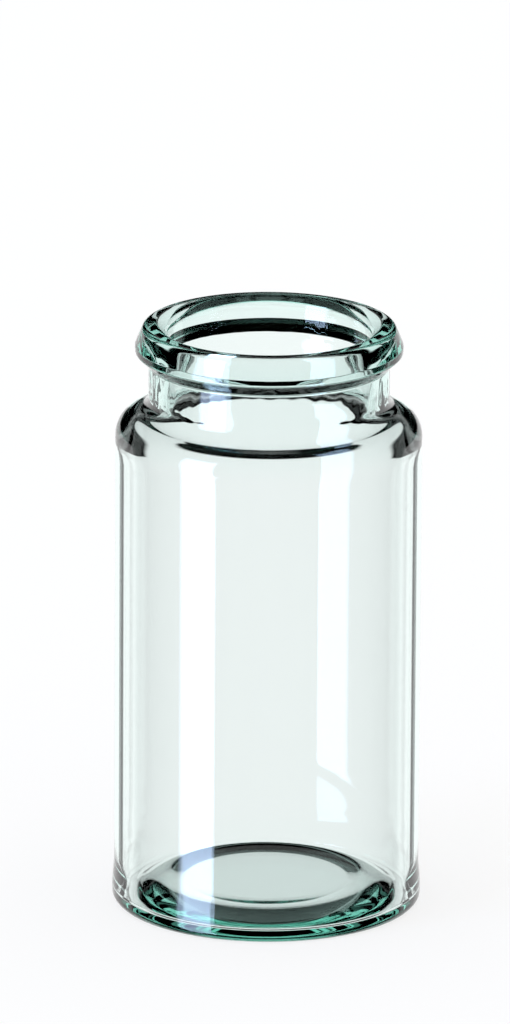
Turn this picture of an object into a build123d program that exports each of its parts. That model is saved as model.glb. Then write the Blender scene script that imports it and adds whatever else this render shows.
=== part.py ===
from build123d import *
import os
from math import radians, tan

# Glass sample vial with a snap rim, in one piece of glass. The outline of half its section is
# a run of straight lines with rounded corners, and it is turned about the axis.
# Millimetres, +Z up. The origin is the centre of the face that the vial stands on.

# Tube
height = 40.0          # foot to top of the rim
body_d = 20.5          # outside diameter of the tube
wall = 0.55            # glass thickness of the tube

# Foot
foot_out = 0.13        # how far the hot foot bulged out beyond the tube
bulge_h = 2.8          # height over which the bulge dies out
bulge_top = 1.3        # top of the widest band of the foot
bulge_r = 4.0          # long soft roundings of the bulge
heel_r = 1.0           # outer rounding under the widest band
stand_w = 2.18         # width of the flat ring that the vial stands on, rounding included
stand_r = 0.8          # rounding of that ring's inner edge
punt_w = 2.7           # width of the slope from that ring up into the hollow under the foot
punt_h = 0.42          # height of the hollow
punt_r = 1.0           # rounding at its top

# Floor inside
floor_t = 1.36         # glass between the hollow and the inside
trough_z = 0.72        # lowest level of the floor, a trough round its raised middle
trough_w = 0.65        # width of the trough
trough_r = 0.7         # rounding between the trough and the wall
middle_w = 1.95        # width of the slope up to the raised middle
middle_r = 5.9         # roundings of that slope

# Shoulder, measured down from the top of the rim
shoulder_drop = 6.45   # to the outer corner of the shoulder, before rounding
shoulder_r = 2.25      # outer rounding of the shoulder
shoulder_rise = 0.9    # how far the shoulder climbs towards the neck
ceiling_t = 0.59       # glass upright between the outer and the inner corner
inner_rise = 0.76      # how far the inside of the shoulder climbs
inner_r = 1.76         # inner rounding of the shoulder

# Neck and mouth
bore_d = 13.74         # inside of the neck
neck_wall = 1.18       # glass thickness of the neck
neck_r = 0.9           # hollow rounding where the neck meets the shoulder
throat_r = 2.28        # rounding where the bore opens into the body
mouth_r = 0.9          # rounding of the bore at the mouth

# Snap rim, measured down from its top and out from the neck
crest_out = 0.9        # how far the crest stands out, over which a cap snaps
crest_top = 1.36       # to the upper edge of the crest
crest_w = 0.46         # width of the crest, edge to edge
crest_r = 0.3          # rounding of both its edges
under_drop = 2.65      # to the corner between the underside and the neck
under_r = 0.36         # rounding of that corner
lip_out = 0.35         # how far the top of the rim's conical outside stands out
lip_r = 0.47           # rounding there

run_share = 0.49       # most of a straight run that the rounding at one end may use up

# Radii that follow from these
foot_radius = body_d / 2 + foot_out
stand_radius = foot_radius - stand_w
inner_radius = body_d / 2 - wall
middle_radius = inner_radius - trough_w
neck_radius = bore_d / 2 + neck_wall


def foot_corners():
    """The underside and the foot, from the axis outwards, as (radius, height, rounding)."""
    return [
        (0, punt_h, 0),
        (stand_radius - punt_w, punt_h, punt_r),
        (stand_radius, 0, stand_r),
        (foot_radius, 0, heel_r),
        (foot_radius, bulge_top, bulge_r),
        (body_d / 2, bulge_h, bulge_r),
    ]


def shoulder_corners():
    """The outside of the shoulder, up to the neck."""
    corner_z = height - shoulder_drop
    return [
        (body_d / 2, corner_z, shoulder_r),
        (neck_radius, corner_z + shoulder_rise, neck_r),
    ]


def rim_corners():
    """The snap rim, from the neck over the crest and the top into the mouth."""
    crest_z = height - crest_top
    return [
        (neck_radius, height - under_drop, under_r),
        (neck_radius + crest_out, crest_z - crest_w, crest_r),
        (neck_radius + crest_out, crest_z, crest_r),
        (neck_radius + lip_out, height, lip_r),
        (bore_d / 2, height, mouth_r),
    ]


def inside_corners():
    """The inside, from the throat down the wall to the middle of the floor."""
    corner_z = height - shoulder_drop - ceiling_t
    floor_z = punt_h + floor_t
    return [
        (bore_d / 2, corner_z + inner_rise, throat_r),
        (inner_radius, corner_z, inner_r),
        (inner_radius, trough_z, trough_r),
        (middle_radius, trough_z, middle_r),
        (middle_radius - middle_w, floor_z, middle_r),
        (0, floor_z, 0),
    ]


def rounding(before, corner, after):
    """The corner's rounding, made smaller where a run beside it is too short for it."""
    start, middle, end = (Vector(r, z) for r, z, _ in (before, corner, after))
    turn = radians((middle - start).get_angle(end - middle))
    shorter_run = min((middle - start).length, (end - middle).length)
    return min(corner[2], run_share * shorter_run / tan(turn / 2))


def glass_vial():
    """The half section, turned about the axis."""
    corners = foot_corners() + shoulder_corners() + rim_corners() + inside_corners()
    radii = [rounding(*three) for three in zip(corners, corners[1:], corners[2:])]
    outline = FilletPolyline([(r, 0, z) for r, z, _ in corners], radius=radii)
    axis_line = Line(outline @ 1, outline @ 0)
    return revolve(make_face([outline, axis_line]), axis=Axis.Z)


vial = glass_vial()
os.makedirs("parts", exist_ok=True)
export_step(vial, "parts/glass_vial.step")
print("glass volume", round(vial.volume), "mm3, box", vial.bounding_box().size)
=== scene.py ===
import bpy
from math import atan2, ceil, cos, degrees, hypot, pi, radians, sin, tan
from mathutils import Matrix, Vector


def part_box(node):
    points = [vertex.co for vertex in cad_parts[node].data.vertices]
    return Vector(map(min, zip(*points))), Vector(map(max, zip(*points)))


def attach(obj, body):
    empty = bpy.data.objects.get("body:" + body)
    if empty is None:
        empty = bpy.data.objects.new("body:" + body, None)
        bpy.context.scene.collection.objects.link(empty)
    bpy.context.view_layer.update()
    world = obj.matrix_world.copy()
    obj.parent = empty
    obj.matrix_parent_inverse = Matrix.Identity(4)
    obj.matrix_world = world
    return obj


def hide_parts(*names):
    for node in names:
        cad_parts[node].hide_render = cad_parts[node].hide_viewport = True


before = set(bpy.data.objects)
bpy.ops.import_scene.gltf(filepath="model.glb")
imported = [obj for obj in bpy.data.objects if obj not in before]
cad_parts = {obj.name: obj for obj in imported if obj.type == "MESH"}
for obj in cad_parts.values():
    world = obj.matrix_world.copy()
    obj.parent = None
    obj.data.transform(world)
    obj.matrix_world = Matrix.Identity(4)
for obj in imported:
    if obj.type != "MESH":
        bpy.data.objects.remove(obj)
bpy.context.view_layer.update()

# %% [markdown]
# # A glass sample vial with a snap rim
# The real vial is one piece of clear glass. A tube of borosilicate glass turns in a flame, its foot
# is closed and pressed to a shallow hollow, and a roller forms the neck and the rim over which a
# plastic cap snaps. Everything is round about one axis, so the piece could be cut from a cylinder
# and shaped ring by ring, or its half section could be drawn once and turned. The half section is
# drawn here, because clear glass shows both of its faces and each rounding bends the light: the
# outline is the whole design.

# %% [markdown]
# ## Sizes
# Each size is in millimetres, named as the part's own drawing names it. The height and the width
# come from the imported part. The foot is a little wider than the tube, where the hot glass sagged,
# and the rim has a crest for the cap. The floor is no flat disc: it rises to a low dome over the
# hollow under the foot, with a trough round it, and the dark arcs seen through it come from that.
# One function turns millimetres to Blender's metres, so the list stays legible.

# %% Sizes of the vial in millimetres
# Overall sizes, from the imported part, whose foot is its widest place
low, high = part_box("glass_vial")
height = 1000 * (high[2] - low[2])
foot_radius = 1000 * high[0]

# Tube and foot
foot_out = 0.13        # how far the hot foot bulged out beyond the tube
body_d = 2 * (foot_radius - foot_out)
wall = 0.55            # glass thickness of the tube
bulge_h = 2.8          # height over which the bulge dies out
bulge_top = 1.3        # top of the widest band of the foot
bulge_r = 4.0          # long soft roundings of the bulge
heel_r = 1.0           # outer rounding under the widest band
stand_w = 2.18         # width of the flat ring that the vial stands on, rounding included
stand_r = 0.8          # rounding of that ring's inner edge
punt_w = 2.7           # width of the slope from that ring up into the hollow under the foot
punt_h = 0.42          # height of the hollow
punt_r = 1.0           # rounding at its top

# Floor inside
floor_t = 1.36         # glass between the hollow and the inside
trough_z = 0.72        # lowest level of the floor, a trough round its raised middle
trough_w = 0.65        # width of the trough
trough_r = 0.7         # rounding between the trough and the wall
middle_w = 1.95        # width of the slope up to the raised middle
middle_r = 5.9         # roundings of that slope

# Shoulder, measured down from the top of the rim
shoulder_drop = 6.45   # to the outer corner of the shoulder, before rounding
shoulder_r = 2.25      # outer rounding of the shoulder
shoulder_rise = 0.9    # how far the shoulder climbs towards the neck
ceiling_t = 0.59       # glass upright between the outer and the inner corner
inner_rise = 0.76      # how far the inside of the shoulder climbs
inner_r = 1.76         # inner rounding of the shoulder

# Neck and mouth
bore_d = 13.74         # inside of the neck
neck_wall = 1.18       # glass thickness of the neck
neck_r = 0.9           # hollow rounding where the neck meets the shoulder
throat_r = 2.28        # rounding where the bore opens into the body
mouth_r = 0.9          # rounding of the bore at the mouth

# Snap rim, measured down from its top and out from the neck
crest_out = 0.9        # how far the crest stands out, over which a cap snaps
crest_top = 1.36       # to the upper edge of the crest
crest_w = 0.46         # width of the crest, edge to edge
crest_r = 0.3          # rounding of both its edges
under_drop = 2.65      # to the corner between the underside and the neck
under_r = 0.36         # rounding of that corner
lip_out = 0.35         # how far the top of the rim's conical outside stands out
lip_r = 0.47           # rounding there


def mm(value):
    """Millimetres as Blender's metres."""
    return value / 1000


print("height", round(height, 3), "mm, tube", round(body_d, 3), "mm, wall", wall, "mm")

# %% [markdown]
# ## The corners of the half section
# A glassworker's template for this vial is a line of straight edges with rounded corners. Each
# corner is a radius from the axis, a height, and the rounding that it gets. The line starts under
# the foot on the axis, climbs the outside, goes over the rim and comes down the inside.

# %% Corners from the axis under the foot, round the rim, to the axis inside
stand_radius = foot_radius - stand_w
inner_radius = body_d / 2 - wall
middle_radius = inner_radius - trough_w
neck_radius = bore_d / 2 + neck_wall
shoulder_z = height - shoulder_drop
crest_z = height - crest_top
corners = [
    (0, punt_h, 0),
    (stand_radius - punt_w, punt_h, punt_r),
    (stand_radius, 0, stand_r),
    (foot_radius, 0, heel_r),
    (foot_radius, bulge_top, bulge_r),
    (body_d / 2, bulge_h, bulge_r),
    (body_d / 2, shoulder_z, shoulder_r),
    (neck_radius, shoulder_z + shoulder_rise, neck_r),
    (neck_radius, height - under_drop, under_r),
    (neck_radius + crest_out, crest_z - crest_w, crest_r),
    (neck_radius + crest_out, crest_z, crest_r),
    (neck_radius + lip_out, height, lip_r),
    (bore_d / 2, height, mouth_r),
    (bore_d / 2, shoulder_z - ceiling_t + inner_rise, throat_r),
    (inner_radius, shoulder_z - ceiling_t, inner_r),
    (inner_radius, trough_z, trough_r),
    (middle_radius, trough_z, middle_r),
    (middle_radius - middle_w, punt_h + floor_t, middle_r),
    (0, punt_h + floor_t, 0),
]
print(len(corners), "corners")

# %% [markdown]
# ## Drawing the line
# A plane is added and merged to one point, which is then the pen. Extruding the point draws a
# straight run, and spinning it about a centre draws a true arc, as a compass would. A bevel of the
# finished corners would be quicker to type, but it only gives a true arc at a right angle. Runs are
# cut into short steps as well: smooth shading blends the facing from ring to ring, and evenly
# spaced rings keep that blend within the roundings, so that the straight wall stays optically flat.

# %% The pen
RUN_STEP = 0.55     # mm between rings on a straight run
ARC_STEP = 7.0      # degrees between rings on a rounding
ARC_LENGTH = 0.35   # mm, and never further apart than this
RUN_SHARE = 0.49    # most of a straight run that the rounding at one end may use up


def pen_down(radius, level):
    """A new object whose one vertex is the pen: a small plane, merged to its centre."""
    bpy.ops.object.select_all(action="DESELECT")
    bpy.ops.mesh.primitive_plane_add(size=mm(1), location=(0, 0, 0))
    bpy.ops.object.mode_set(mode="EDIT")
    bpy.ops.mesh.select_all(action="SELECT")
    bpy.ops.mesh.merge(type="CENTER")
    bpy.ops.transform.translate(value=(mm(radius), 0, mm(level)))
    return bpy.context.object


def draw_run(start, end):
    """Extrudes the pen from start to end in short equal steps."""
    run = end - start
    steps = max(1, ceil(run.length / RUN_STEP))
    move = (mm(run.x) / steps, 0, mm(run.y) / steps)
    for _ in range(steps):
        bpy.ops.mesh.extrude_vertices_move(TRANSFORM_OT_translate={"value": move})


def draw_arc(centre, radius, turn):
    """Spins the pen about the centre, to the left where the turn is positive."""
    steps = max(2, ceil(abs(degrees(turn)) / ARC_STEP), ceil(abs(turn) * radius / ARC_LENGTH))
    middle = (mm(centre.x), 0, mm(centre.y))
    bpy.ops.mesh.spin(steps=steps, angle=turn, center=middle, axis=(0, 1, 0))


# %% The half section, run by run
points = [Vector((r, z)) for r, z, _ in corners]
vial = pen_down(*points[0])
pen = points[0]
for before, here, after, corner in zip(points, points[1:], points[2:], corners[1:]):
    into, out = (here - before), (after - here)
    turn = atan2(into.x * out.y - into.y * out.x, into.dot(out))
    reach = tan(abs(turn) / 2)
    radius = min(corner[2], RUN_SHARE * min(into.length, out.length) / reach)
    start = here - into.normalized() * radius * reach
    side = 1 if turn > 0 else -1
    across = Vector((-into.y, into.x)).normalized() * side
    draw_run(pen, start)
    draw_arc(start + across * radius, radius, turn)
    pen = here + out.normalized() * radius * reach
draw_run(pen, points[-1])
bpy.ops.object.mode_set(mode="OBJECT")
vial.name = "vial"
vial.data.name = "vial"
last = vial.data.vertices[-1].co
rings = len(vial.data.vertices)
print("the line has", rings, "points and ends", [round(1000 * v, 4) for v in last])

# %% [markdown]
# ## Turning the section
# A spin of the whole line about the upright axis makes the vial, and as it is a full turn, it joins
# its last copy to the first by itself. All the copies of each end point lie on each other on the
# axis, so the doubles are merged there and the facing is worked out again afterwards. Only then is
# the shell closed all over.

# %% Spin about the axis, then close the two poles
TURN_STEPS = 256
MERGE_WITHIN = 0.002   # mm, far less than the gap between two points

bpy.ops.object.mode_set(mode="EDIT")
bpy.ops.mesh.select_all(action="SELECT")
bpy.ops.mesh.spin(steps=TURN_STEPS, angle=2 * pi, center=(0, 0, 0), axis=(0, 0, 1))
bpy.ops.mesh.select_all(action="SELECT")
bpy.ops.mesh.remove_doubles(threshold=mm(MERGE_WITHIN))
bpy.ops.mesh.normals_make_consistent(inside=False)
bpy.ops.object.mode_set(mode="OBJECT")
print(len(vial.data.vertices), "vertices,", len(vial.data.polygons), "faces")

# %% [markdown]
# ## The hot-worked neck
# The tube is straight glass, but the neck was squeezed by a roller while it was soft, and its inside
# was never touched by a tool. It froze in low waves, under a tenth of a millimetre high, which make
# the dark lines seen through the neck run ragged. A Displace modifier with a clouds texture raises
# such waves, and a vertex group that fades out below and above keeps them to the neck.

# %% Low waves inside the neck
WAVE_HEIGHT = 0.08    # mm, crest to hollow at the most
WAVE_WIDTH = 0.8      # mm, about the width of one wave
WAVES_FROM = 1.0      # mm under the top of the rim
WAVES_TO = 5.8        # mm under the top of the rim
FADE_ABOVE = 2.0      # mm over which they grow
FADE_BELOW = 0.8      # mm over which they die out
BORE_REACH = 0.4      # mm wider than the bore, to take in the starts of its roundings

neck_inside = vial.vertex_groups.new(name="inside the neck")
waved = 0
for vertex in vial.data.vertices:
    radius = 1000 * hypot(vertex.co.x, vertex.co.y)
    depth = height - 1000 * vertex.co.z
    if radius < bore_d / 2 + BORE_REACH and WAVES_FROM < depth < WAVES_TO:
        fade = min(1.0, (depth - WAVES_FROM) / FADE_ABOVE, (WAVES_TO - depth) / FADE_BELOW)
        neck_inside.add([vertex.index], fade, "REPLACE")
        waved += 1
waves = bpy.data.textures.new("waves", "CLOUDS")
waves.noise_scale = mm(WAVE_WIDTH)
waves.noise_depth = 1
ripple = vial.modifiers.new("waves", "DISPLACE")
ripple.texture = waves
ripple.texture_coords = "LOCAL"
ripple.vertex_group = neck_inside.name
ripple.mid_level = 0.5
ripple.strength = mm(WAVE_HEIGHT)
bpy.ops.object.select_all(action="DESELECT")
vial.select_set(True)
bpy.context.view_layer.objects.active = vial
bpy.ops.object.modifier_apply(modifier=ripple.name)
print("waves of", WAVE_HEIGHT, "mm on", waved, "points inside the neck")

# %% [markdown]
# ## Smooth facing
# The facets stand for one round surface, so they are shaded smooth. Every corner of the real vial
# is melted round, so no edge is left sharp.

# %% Shade the facets as one smooth surface
SHARP_ANGLE = 60   # degrees between two facets, past which their edge would be kept sharp
bpy.ops.object.select_all(action="DESELECT")
vial.select_set(True)
bpy.context.view_layer.objects.active = vial
bpy.ops.object.shade_smooth_by_angle(angle=radians(SHARP_ANGLE))
sharp = sum(edge.use_edge_sharp for edge in vial.data.edges)
print(sum(face.use_smooth for face in vial.data.polygons), "smooth faces,", sharp, "sharp edges")

# %% [markdown]
# ## Borosilicate glass
# Laboratory vials are borosilicate glass, drawn as tube, with fire-polished surfaces that are
# perfectly smooth: roughness 0 and an index of 1.473. Its colour shows only through a length of
# glass, which is why the rim and the foot look blue-green and the thin wall nearly clear. So the
# surface stays white and the colour is an absorption inside it, in amounts per metre that were
# matched.

# %% Helpers for materials


def hex_colour(code):
    """An sRGB hex colour as linear red, green, blue and alpha."""
    parts = [int(code[i:i + 2], 16) / 255 for i in (0, 2, 4)]
    return tuple(p / 12.92 if p <= 0.04045 else ((p + 0.055) / 1.055) ** 2.4 for p in parts) + (1.0,)


def add_node(tree, kind, settings=None):
    """Adds a node. A setting is one of its properties, or a value or a link for one of its sockets.

    A link is given as another node's output, or as a node, which stands for its first output.
    """
    node = tree.nodes.new(kind)
    for name, value in (settings or {}).items():
        if isinstance(value, bpy.types.Node):
            value = value.outputs[0]
        if isinstance(value, bpy.types.NodeSocket):
            tree.links.new(value, node.inputs[name])
        elif isinstance(name, str) and hasattr(node, name):
            setattr(node, name, value)
        else:
            node.inputs[name].default_value = value
    return node


def new_material(name):
    """A material with no nodes yet."""
    material = bpy.data.materials.new(name)
    material.use_nodes = True
    material.node_tree.nodes.clear()
    return material


print("white is", hex_colour("FFFFFF"))

# %% Clear borosilicate glass
GLASS_INDEX = 1.473
TINT = hex_colour("00E0CC")
TINT_DENSITY = 88.0        # per metre, of what the tint lacks of white

glass = new_material("clear borosilicate glass")
tree = glass.node_tree
surface = add_node(tree, "ShaderNodeBsdfPrincipled", {
    "Base Color": hex_colour("FFFFFF"), "Roughness": 0.0, "IOR": GLASS_INDEX,
    "Transmission Weight": 1.0})
inner_tint = add_node(tree, "ShaderNodeVolumeAbsorption", {"Color": TINT, "Density": TINT_DENSITY})
add_node(tree, "ShaderNodeOutputMaterial", {"Surface": surface, "Volume": inner_tint})
vial.data.materials.clear()
vial.data.materials.append(glass)
print("glass absorbs", [round(TINT_DENSITY * (1 - part)) for part in TINT[:3]], "per metre")

# %% The vial takes the place of its CAD node
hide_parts("glass_vial")
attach(vial, "root")
print(vial.name, "stands for glass_vial and rides on root")

# %% [markdown]
# ## The floor
# The vial stands on a plain white floor. It is lit to nearly white and keeps the soft shadow of the
# vial. Light that has been through the glass or mirrored by it doesn't see this floor: it sees the
# studio's light from below instead, because in a product studio the floor is a lit table.

# %% A white floor
FLOOR_SIZE = 3.0     # metres
FLOOR_GLOW = 0.8     # how much of what the camera sees is the table's own light

bpy.ops.object.select_all(action="DESELECT")
bpy.ops.mesh.primitive_plane_add(size=FLOOR_SIZE, location=(0, 0, 0))
floor = bpy.context.object
floor.name = "floor"
card_stock = new_material("white card")
tree = card_stock.node_tree
matt = add_node(tree, "ShaderNodeBsdfDiffuse", {"Color": hex_colour("F4F4F4")})
glow = add_node(tree, "ShaderNodeEmission", {"Color": hex_colour("FFFFFF"), "Strength": 1.0})
seen_by = add_node(tree, "ShaderNodeLightPath")
glow_share = add_node(tree, "ShaderNodeMath", {
    "operation": "MULTIPLY", 0: seen_by.outputs["Is Camera Ray"], 1: FLOOR_GLOW})
blend = add_node(tree, "ShaderNodeMixShader", {0: glow_share, 1: matt, 2: glow})
add_node(tree, "ShaderNodeOutputMaterial", {"Surface": blend})
floor.data.materials.append(card_stock)
floor.visible_glossy = False
floor.visible_transmission = False
print("floor", FLOOR_SIZE, "m square")

# %% [markdown]
# ## Light for clear glass
# Clear glass has no colour of its own to light. It is drawn by what it bends into view, so a studio
# puts a lit white table and card behind it and keeps the rest of the room dark: every rounding of
# the glass bends the view across that border and gets a black line. The room could be built of
# panels, but here it is drawn by direction in the world's own nodes, so that it is plain and free
# of noise, and what shows past the vial is exactly white.

# %% Direction in the room, in degrees
world = bpy.data.worlds.new("studio")
bpy.context.scene.world = world
world.use_nodes = True
room = world.node_tree
room.nodes.clear()
where = add_node(room, "ShaderNodeTexCoord")
axes = add_node(room, "ShaderNodeSeparateXYZ", {0: where.outputs["Generated"]})
ray = add_node(room, "ShaderNodeLightPath")
climb = add_node(room, "ShaderNodeMath", {"operation": "ARCSINE", 0: axes.outputs["Z"]})
elevation = add_node(room, "ShaderNodeMath", {"operation": "MULTIPLY", 0: climb, 1: degrees(1)})
heading = add_node(room, "ShaderNodeMath", {
    "operation": "ARCTAN2", 0: axes.outputs["X"], 1: axes.outputs["Y"]})
azimuth = add_node(room, "ShaderNodeMath", {"operation": "MULTIPLY", 0: heading, 1: degrees(1)})
print("elevation counts up from level, azimuth to the right from straight behind the vial")

# %% Helpers for borders in the room


def rises(angle, edge, softness):
    """0 below the edge and 1 above it, with a border as soft as that to either side."""
    return add_node(room, "ShaderNodeMapRange", {
        "interpolation_type": "SMOOTHSTEP", "Value": angle,
        "From Min": edge - softness, "From Max": edge + softness})


def falls(angle, edge, softness):
    """1 below the edge and 0 above it."""
    above = rises(angle, edge, softness)
    return add_node(room, "ShaderNodeMath", {"operation": "SUBTRACT", 0: 1.0, 1: above})


def times(*shares):
    """The product of any number of shares."""
    product = shares[0]
    for share in shares[1:]:
        product = add_node(room, "ShaderNodeMath", {"operation": "MULTIPLY", 0: product, 1: share})
    return product


def aside_of(middle):
    """How many degrees a direction's azimuth lies to either side of a middle one."""
    off = add_node(room, "ShaderNodeMath", {"operation": "SUBTRACT", 0: azimuth, 1: float(middle)})
    return add_node(room, "ShaderNodeMath", {"operation": "ABSOLUTE", 0: off})


print(len(room.nodes), "nodes so far")

# %% [markdown]
# ## The lit table, the black flags and the upper card
# The lit white reaches from steeply under the vial up to table level, all round. Straight down it is
# dark, so the floor of the vial looks dark from high above. Narrow black flags stand round the
# table, and draw the two edges of the wall. They are a cheat: only light that has been inside the
# glass meets them, and what the outside mirrors doesn't. Another cheat stands for the dark side of
# the room where the photographer is: light that has been mirrored sees white only far behind the
# vial. There it also sees a thin dim card above the table, which the floor of the vial mirrors.

# %% The lit table with its flags
CARD_TOP = -1.0        # degrees from level, so just under it
CARD_TOP_SOFT = 1.5    # degrees to either side of the border
CARD_FOOT = -70.0      # degrees from level
CARD_FOOT_SOFT = 5.0
FLAGS = (-29, 29, -74, -119, 106, 164, -151, 151)  # degrees from straight behind
FLAG_HALF = 5.5        # degrees from a flag's middle to its edge
FLAG_SOFT = 0.5
BEHIND = 60.0          # degrees to either side that count as far behind
BEHIND_SOFT = 4.0

table = times(falls(elevation, CARD_TOP, CARD_TOP_SOFT), rises(elevation, CARD_FOOT, CARD_FOOT_SOFT))
flagged = table
for flag in FLAGS:
    flagged = times(flagged, rises(aside_of(flag), FLAG_HALF, FLAG_SOFT))
far_behind = falls(aside_of(0), BEHIND, BEHIND_SOFT)
print("table from", CARD_FOOT, "to", CARD_TOP, "degrees, flags at", FLAGS)

# %% What light sees that was inside the glass, and what light sees that was mirrored
mirrored = add_node(room, "ShaderNodeMath", {
    "operation": "MINIMUM", 0: ray.outputs["Glossy Depth"], 1: 1.0})
inside = add_node(room, "ShaderNodeMath", {
    "operation": "MINIMUM", 0: ray.outputs["Transmission Depth"], 1: 1.0})
straight = add_node(room, "ShaderNodeMath", {"operation": "SUBTRACT", 0: 1.0, 1: mirrored})
never_inside = add_node(room, "ShaderNodeMath", {"operation": "SUBTRACT", 0: 1.0, 1: inside})
allowed = add_node(room, "ShaderNodeMath", {"operation": "MAXIMUM", 0: far_behind, 1: straight})
through = times(flagged, inside, allowed)
off_the_outside = times(table, far_behind, never_inside)
table_seen = add_node(room, "ShaderNodeMath", {"operation": "ADD", 0: through, 1: off_the_outside})
print("light through the glass sees the flags, and mirrored light only", BEHIND, "degrees each way")

# %% The upper card
UPPER_FOOT = 16.5      # degrees from level
UPPER_TOP = 19.0       # degrees from level
UPPER_SOFT = 0.4       # degrees
UPPER_LIGHT = 0.25     # its brightness beside the table's

upper = times(rises(elevation, UPPER_FOOT, UPPER_SOFT), falls(elevation, UPPER_TOP, UPPER_SOFT),
              far_behind, mirrored, UPPER_LIGHT)
card = add_node(room, "ShaderNodeMath", {"operation": "ADD", 0: table_seen, 1: upper})
print("upper card from", UPPER_FOOT, "to", UPPER_TOP, "degrees")

# %% [markdown]
# ## The softbox
# One tall softbox at the front left gives the long pale reflections down the glass. It is much
# brighter than white, because glass mirrors only about 4% of what falls straight on it. Light that
# has bounced about in the glass many times doesn't see it, or the foot would sparkle.

# %% One tall softbox at the front left
BOX_FRONT = -138.5         # degrees from straight behind, its edge nearer the camera
BOX_FRONT_SOFT = 0.6       # degrees
BOX_LEFT = -111.0          # degrees from straight behind, its other edge
BOX_LEFT_SOFT = 2.5        # degrees
BOX_FOOT = -45.0           # degrees from level
BOX_TOP = 30.0             # degrees from level
BOX_END_SOFT = 1.0         # degrees
BOX_BOUNCES = 6.5          # so six bounces still see it and seven don't
BOX_BOUNCE_SOFT = 0.4      # bounces
BOX_LIGHT = (5.5, 7.0, 10.0)  # linear red, green and blue, a cool white

softbox = times(rises(azimuth, BOX_FRONT, BOX_FRONT_SOFT), falls(azimuth, BOX_LEFT, BOX_LEFT_SOFT),
                rises(elevation, BOX_FOOT, BOX_END_SOFT), falls(elevation, BOX_TOP, BOX_END_SOFT),
                falls(ray.outputs["Ray Depth"], BOX_BOUNCES, BOX_BOUNCE_SOFT))
print("softbox", BOX_LEFT - BOX_FRONT, "degrees wide and", BOX_TOP - BOX_FOOT, "high")

# %% The light of the cards and the softbox, with plain white past the glass
CARD_LIGHT = 1.06          # a little over white, for what the glass turns away

card_light = add_node(room, "ShaderNodeVectorMath", {
    "operation": "SCALE", 0: (CARD_LIGHT,) * 3, "Scale": card})
box_light = add_node(room, "ShaderNodeVectorMath", {
    "operation": "SCALE", 0: BOX_LIGHT, "Scale": softbox})
studio = add_node(room, "ShaderNodeVectorMath", {"operation": "ADD", 0: card_light, 1: box_light})
past_the_glass = add_node(room, "ShaderNodeMath", {
    "operation": "MAXIMUM", 0: ray.outputs["Is Camera Ray"], 1: ray.outputs["Is Diffuse Ray"]})
view = add_node(room, "ShaderNodeMix", {
    "data_type": "VECTOR", "Factor": past_the_glass, "A": studio, "B": (1.0, 1.0, 1.0)})
sky = add_node(room, "ShaderNodeBackground", {"Color": view.outputs["Result"], "Strength": 1.0})
add_node(room, "ShaderNodeOutputWorld", {"Surface": sky})
print(len(room.nodes), "nodes draw the room")

# %% [markdown]
# ## The camera
# A long lens from nearly a metre away, looking down at the vial by sixteen and a half degrees, so
# that the mouth and the foot open into slim ellipses and the sides stay parallel.

# %% Camera
DISTANCE = 0.9          # metres
LOOK_DOWN = 16.5        # degrees
VIEW_HEIGHT = 68.58674  # mm that the view takes in from foot to head, at that distance
AIM_UP = 6.70           # mm up the view from the middle of the vial to the middle of the view
AIM_RIGHT = -0.89       # mm to the right likewise, so a little to the left
LEAN = 0.33             # degrees that the camera is turned about its own axis
FILM = 36               # mm, the longer side of the camera's film

lens = bpy.data.cameras.new("camera")
camera = bpy.data.objects.new("camera", lens)
bpy.context.scene.collection.objects.link(camera)
bpy.context.scene.camera = camera
lens.sensor_width = FILM
lens.lens = FILM * DISTANCE * 1000 / VIEW_HEIGHT
lens.clip_end = 20
down = radians(LOOK_DOWN)
forward = Vector((0, cos(down), -sin(down)))
right = Vector((1, 0, 0))
upward = right.cross(forward)
aim = Vector((0, 0, mm(height / 2))) + upward * mm(AIM_UP) + right * mm(AIM_RIGHT)
pose = Matrix((right, upward, -forward)).transposed().to_4x4()
pose.translation = aim - forward * DISTANCE
camera.matrix_world = pose @ Matrix.Rotation(radians(LEAN), 4, "Z")
print("lens", round(lens.lens, 1), "mm")

# %% [markdown]
# ## Picture settings
# Light crosses many surfaces in the foot and the rim before it leaves, and glass turns black where
# it runs out of bounces, so it is allowed twenty-four.

# %% Picture settings
MOST_BOUNCES = 24
MIRROR_BOUNCES = 12

scene = bpy.context.scene
scene.view_settings.view_transform = "Standard"
scene.cycles.use_denoising = True
scene.cycles.max_bounces = MOST_BOUNCES
scene.cycles.transmission_bounces = MOST_BOUNCES
scene.cycles.glossy_bounces = MIRROR_BOUNCES
print("up to", MOST_BOUNCES, "bounces")
